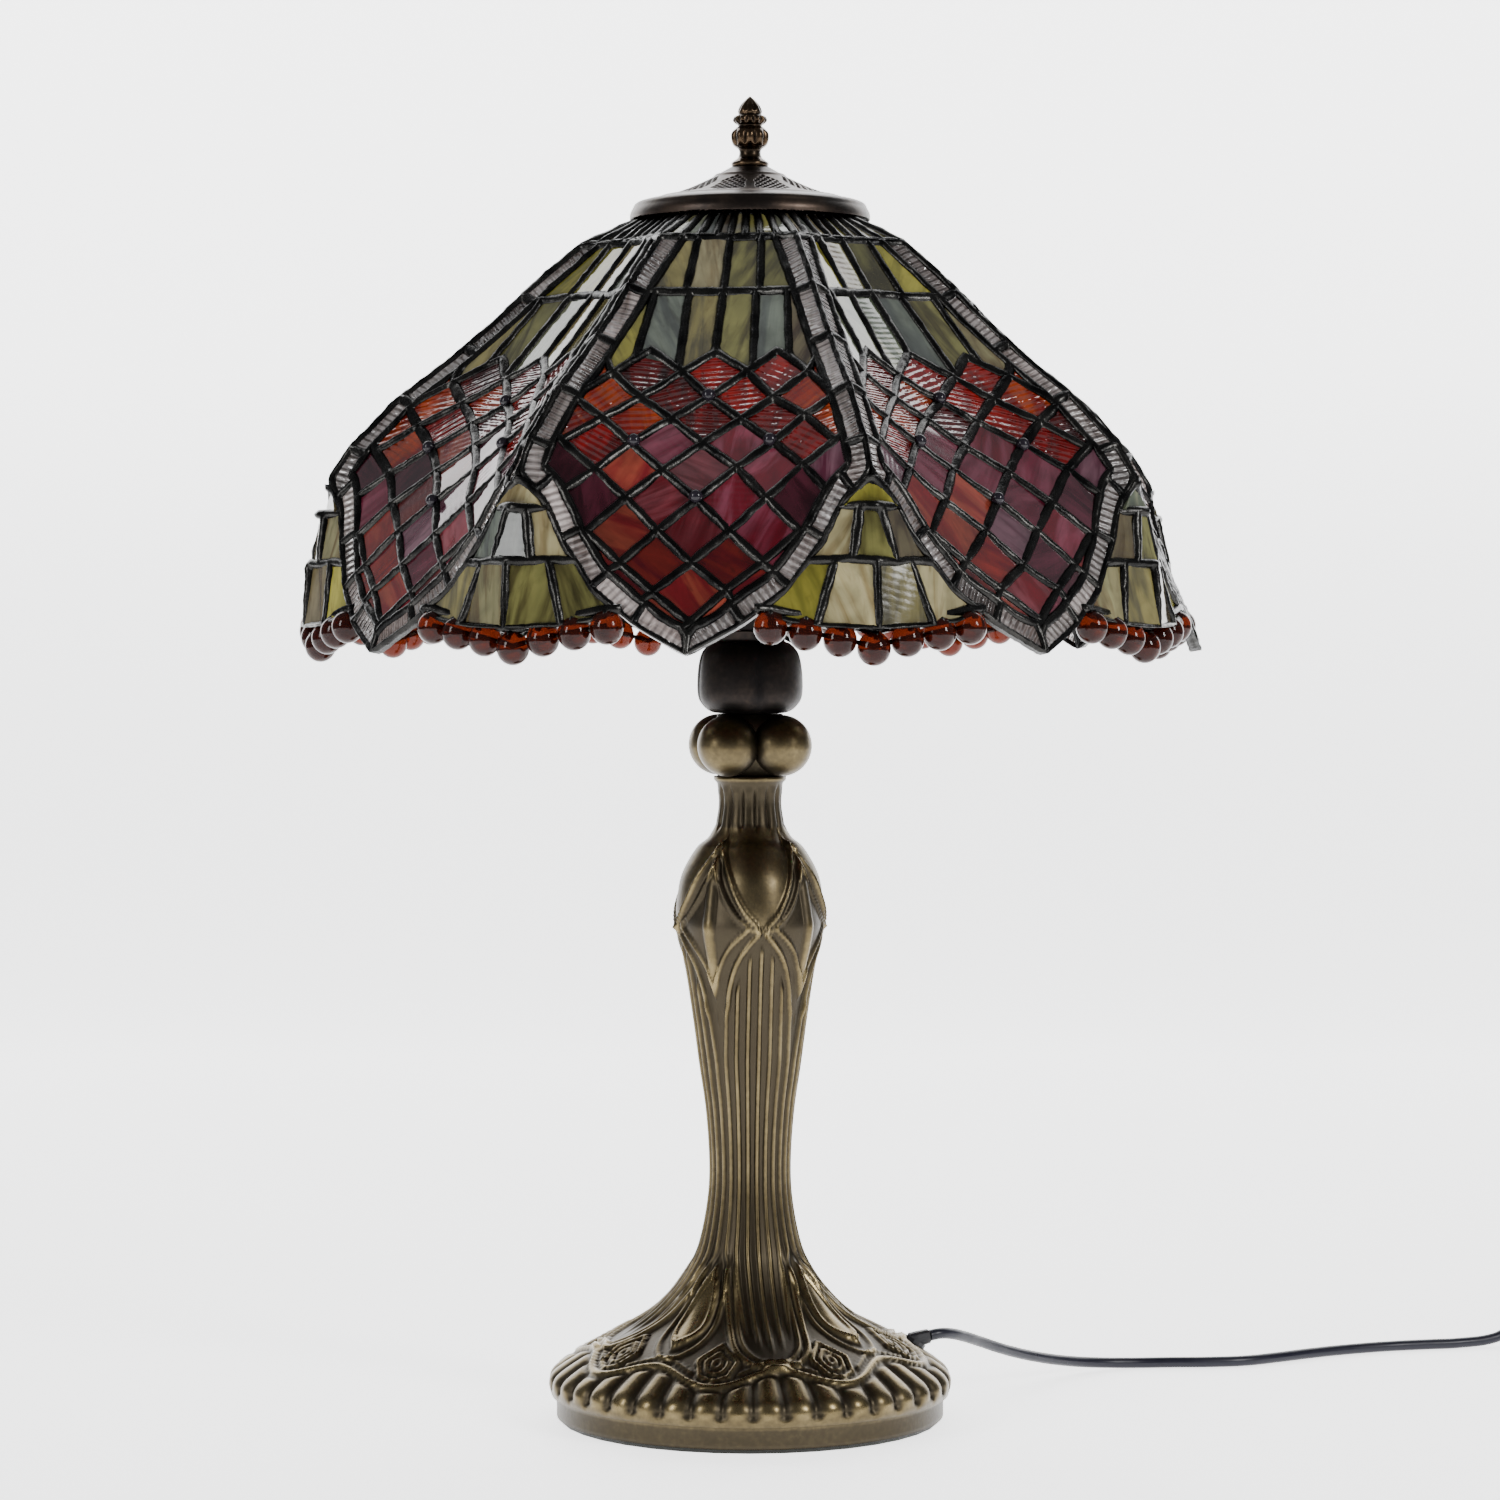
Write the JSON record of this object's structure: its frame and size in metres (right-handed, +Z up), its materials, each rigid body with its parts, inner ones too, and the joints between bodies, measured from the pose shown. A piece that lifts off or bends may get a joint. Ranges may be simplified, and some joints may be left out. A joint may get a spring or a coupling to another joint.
{
  "type": "leaded glass table lamp",
  "caption": "Table lamp with a domed leaded-glass shade of dished petals, skirt fans and hanging glass beads on a cast brass-finish column and round foot, with corded in-line switch.",
  "frame": {"origin": "centre of the underside of the foot", "axes": "+Z up along the column, front faces -Y, +X to the right; the lead leaves the foot towards +X"},
  "size_m": [0.7244, 0.4185, 0.6048],
  "materials": {
    "cast_brass": "antique brass, dark in its hollows and rubbed bright on its ridges",
    "dark_bronze": "dark bronze, satin",
    "steel": "zinc plated",
    "ring_brass": "dull brass",
    "iron": "black paint over rough casting",
    "felt": "black felt",
    "petal_glass": "streaky red, plum and orange art glass with a clear ripple border, in dark soldered came",
    "olive_glass": "opalescent olive and cream art glass in dark soldered came",
    "bead_glass": "polished amber glass",
    "bulb_white": "opal white diffuser, nickel screw cap",
    "black_plastic": "moulded black plastic",
    "cord_pvc": "smooth near-black navy PVC"
  },
  "bodies": {
    "root": {"base_casting": "cast_brass", "knob_ring": "cast_brass", "vase_cup": "dark_bronze", "cluster_body": "dark_bronze", "base_plate": "steel", "rod_washer": "steel", "base_nut": "steel", "threaded_rod": "steel", "arm_nipple_1": "steel", "arm_nipple_2": "steel", "riser_rod": "steel", "shade_wheel": "steel", "wheel_nut": "steel", "plug_pin_1": "steel", "plug_pin_2": "steel", "base_weight": "iron", "felt_pad": "felt", "lampholder_1": "black_plastic", "lampholder_2": "black_plastic", "cord_bushing": "black_plastic", "switch_base": "black_plastic", "switch_cover": "black_plastic", "plug_body": "black_plastic", "lead_to_switch": "cord_pvc", "lead_to_coil": "cord_pvc", "lead_coil": "cord_pvc", "lead_tail": "cord_pvc"},
    "shade": {"petal_1": "petal_glass", "petal_2": "petal_glass", "petal_3": "petal_glass", "petal_4": "petal_glass", "petal_5": "petal_glass", "petal_6": "petal_glass", "petal_7": "petal_glass", "petal_8": "petal_glass", "skirt_1": "olive_glass", "skirt_2": "olive_glass", "skirt_3": "olive_glass", "skirt_4": "olive_glass", "skirt_5": "olive_glass", "skirt_6": "olive_glass", "skirt_7": "olive_glass", "skirt_8": "olive_glass", "bead_row_1": "bead_glass", "bead_row_2": "bead_glass", "bead_row_3": "bead_glass", "bead_row_4": "bead_glass", "bead_row_5": "bead_glass", "bead_row_6": "bead_glass", "bead_row_7": "bead_glass", "bead_row_8": "bead_glass", "crown_ring": "olive_glass", "aperture_ring": "ring_brass", "shade_cap": "dark_bronze"},
    "finial": {"finial": "dark_bronze"},
    "bulb_1": {"bulb_1": "bulb_white"},
    "bulb_2": {"bulb_2": "bulb_white"},
    "switch_rocker": {"switch_rocker": "black_plastic"}
  },
  "joints": [
    {"name": "shade_turn", "type": "hinge", "parent": "root", "child": "shade", "pos_m": [0, 0, 0.545], "axis": [0, 0, 1], "continuous": true},
    {"name": "finial_screw", "type": "hinge", "parent": "root", "child": "finial", "pos_m": [0, 0, 0.573], "axis": [0, 0, 1], "continuous": true},
    {"name": "bulb_1_screw", "type": "hinge", "parent": "root", "child": "bulb_1", "pos_m": [0.06, 0, 0.3999], "axis": [1, 0, 0], "continuous": true},
    {"name": "bulb_2_screw", "type": "hinge", "parent": "root", "child": "bulb_2", "pos_m": [-0.06, 0, 0.3999], "axis": [-1, 0, 0], "continuous": true},
    {"name": "rocker_tilt", "type": "hinge", "parent": "root", "child": "switch_rocker", "pos_m": [0.4204, 0.1986, 0.0165], "axis": [-0.1564, 0.9877, 0], "range_deg": [-12, 0]}
  ]
}
